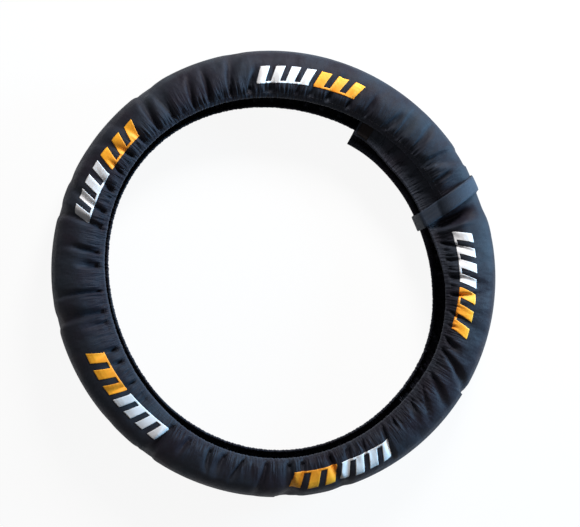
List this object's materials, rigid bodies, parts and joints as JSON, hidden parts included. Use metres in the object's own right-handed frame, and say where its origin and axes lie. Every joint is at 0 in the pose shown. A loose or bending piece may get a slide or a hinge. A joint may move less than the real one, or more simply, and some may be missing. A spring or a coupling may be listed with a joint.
{
  "type": "motorcycle tire cover",
  "caption": "Soft black tire cover: a gathered cloth ring, open toward its middle, with a webbing loop over its overlapped ends.",
  "frame": {"origin": "middle of the bounding box, on the surface that the ring lies on", "axes": "+Z is the ring's axis and points out of its printed front face. +X and +Y lie in the ring's plane: with +Z toward the viewer and +Y up, the webbing loop is at the upper right, about 22 degrees above +X."},
  "size_m": [0.7, 0.7026, 0.0927],
  "materials": {
    "cloth": "woven polyester, matte with a faint sheen",
    "elastic": "matte braided elastic",
    "webbing": "flat woven webbing",
    "hook_and_loop": "hook and loop pile",
    "tape": "flat sewn tape",
    "white_print": "satin printed film",
    "orange_print": "satin printed film"
  },
  "bodies": {
    "root": {"cover_sleeve": "cloth", "front_hem_elastic": "elastic", "back_hem_elastic": "elastic", "tail_end_band": "tape", "closure_strap": "webbing", "strap_loop_pad": "hook_and_loop", "strap_hook_pad": "hook_and_loop", "print_white_1": "white_print", "print_orange_1": "orange_print", "print_white_2": "white_print", "print_orange_2": "orange_print", "print_white_3": "white_print", "print_orange_3": "orange_print", "print_white_4": "white_print", "print_orange_4": "orange_print", "print_white_5": "white_print", "print_orange_5": "orange_print"}
  },
  "joints": []
}
